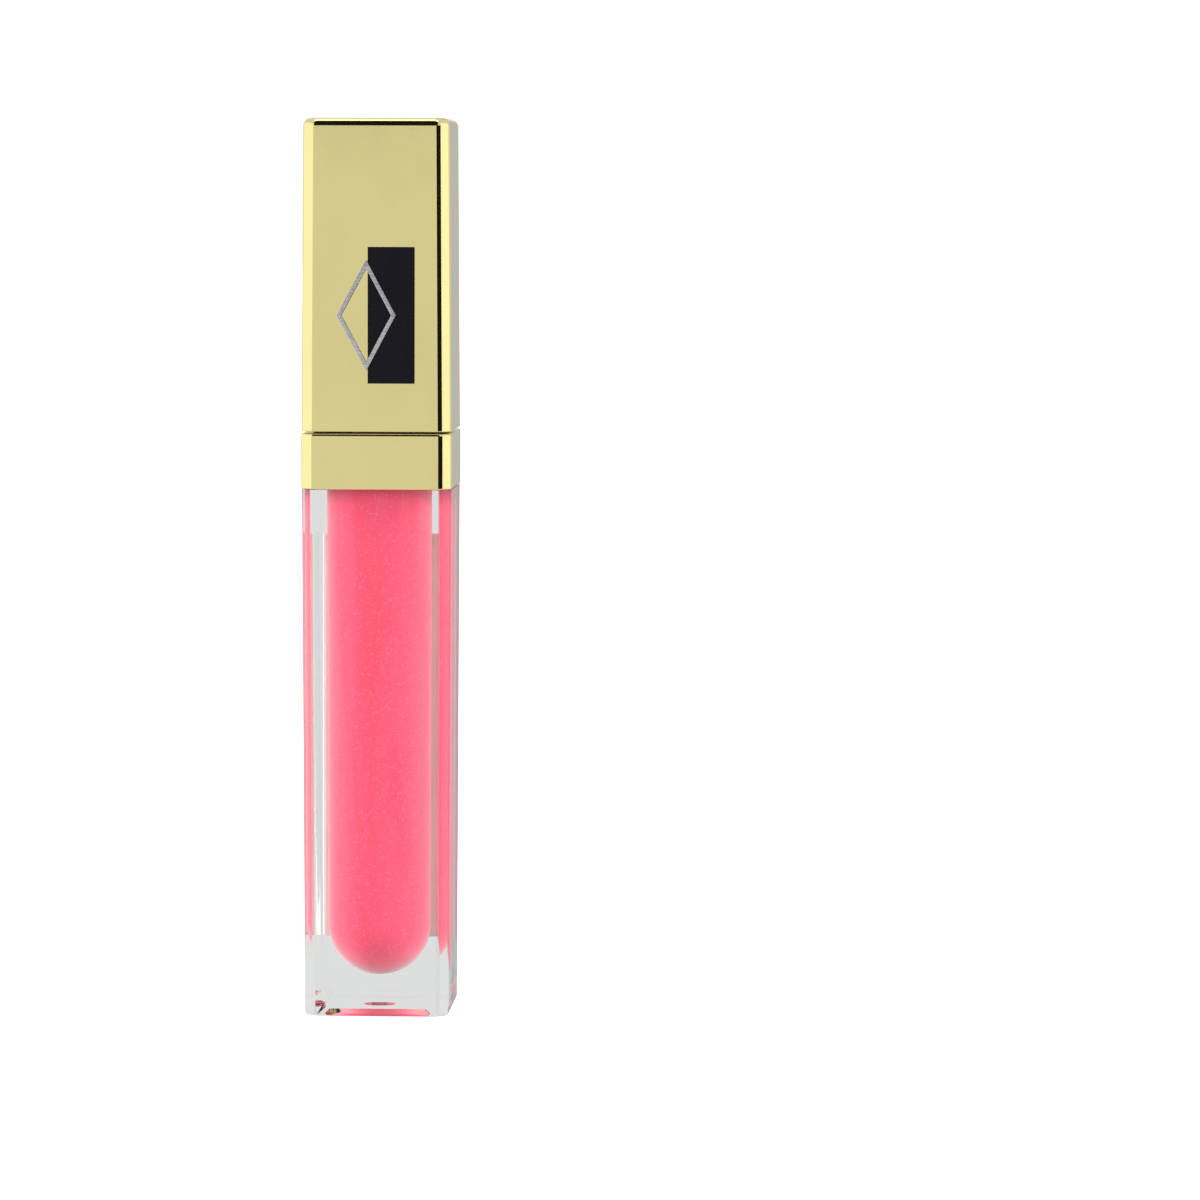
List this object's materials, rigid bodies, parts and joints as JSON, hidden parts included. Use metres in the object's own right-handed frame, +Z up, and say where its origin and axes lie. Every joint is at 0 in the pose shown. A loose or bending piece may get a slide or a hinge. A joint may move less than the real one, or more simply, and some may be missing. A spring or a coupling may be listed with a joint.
{
  "type": "lip gloss tube",
  "caption": "Square clear lip gloss tube with a gold screw cap, flocked wand, mirror on the back and a small lamp in the cap.",
  "frame": {"origin": "centre of the bottle's flat base", "axes": "+Z up along the bore, -Y out of the front face with the black panel, +Y out of the back face with the mirror"},
  "size_m": [0.0174, 0.0184, 0.1034],
  "materials": {
    "clear_plastic": "polished clear PETG, thick walled",
    "pink_gloss": "thick pink gloss with fine shimmer",
    "gold_collar": "pale gold vacuum-metallised, satin mirror",
    "gold_cap": "pale gold vacuum-metallised, satin mirror",
    "wiper_plastic": "translucent soft polyethylene",
    "adhesive_film": "pale double-sided film",
    "mirror": "silvered acrylic mirror",
    "seal_foam": "soft white liner",
    "white_plastic": "white moulded plastic",
    "stem_plastic": "white glossy rod",
    "flock": "short dense flocking, tinted by the gloss",
    "black_panel": "near-black, smooth",
    "silver_trim": "bright foil",
    "board": "green lacquered board",
    "led_resin": "clear dome over yellow phosphor",
    "light_guide": "polished clear rod",
    "chip_black": "black chip with tinned ends",
    "spring_steel": "drawn wire",
    "cell_steel": "bright nickel-plated steel",
    "holder_plastic": "white moulded plastic",
    "brass": "gold-flashed brass"
  },
  "bodies": {
    "bottle_unit": {"bottle": "clear_plastic", "gloss_fill": "pink_gloss", "collar": "gold_collar", "wiper": "wiper_plastic", "mirror_adhesive": "adhesive_film", "mirror_panel": "mirror"},
    "mouth_seal_ring": {"mouth_seal": "seal_foam"},
    "switch_plunger": {"plunger_pin": "white_plastic", "contact_disc": "brass"},
    "cap_unit": {"cap_shell": "gold_cap", "front_panel": "black_panel", "silver_motif": "silver_trim", "inner_cap": "white_plastic", "stem": "stem_plastic", "applicator_tip": "flock", "circuit_board": "board", "switch_pad": "brass", "led": "led_resin", "light_guide": "light_guide", "resistor": "chip_black", "battery_spring": "spring_steel", "battery_holder": "holder_plastic", "cell_lower": "cell_steel", "cell_middle": "cell_steel", "cell_upper": "cell_steel", "positive_contact": "brass", "battery_lid": "holder_plastic", "plunger_spring": "spring_steel"}
  },
  "joints": [
    {"name": "cap_pull", "type": "slide", "parent": "bottle_unit", "child": "mouth_seal_ring", "axis": [0, 0, 1], "range_m": [0, 0.074]},
    {"name": "cap_turn", "type": "hinge", "parent": "mouth_seal_ring", "child": "switch_plunger", "pos_m": [0, 0, 0.0794], "axis": [0, 0, 1], "range_deg": [0, 360]},
    {"name": "thread_lift", "type": "slide", "parent": "switch_plunger", "child": "cap_unit", "axis": [0, 0, 1], "range_m": [0, 0.0021], "deforming": ["plunger_spring"]}
  ],
  "couplings": [
    {"joint": "thread_lift", "follows": "cap_turn", "m_per_rad": 0.00033423}
  ]
}
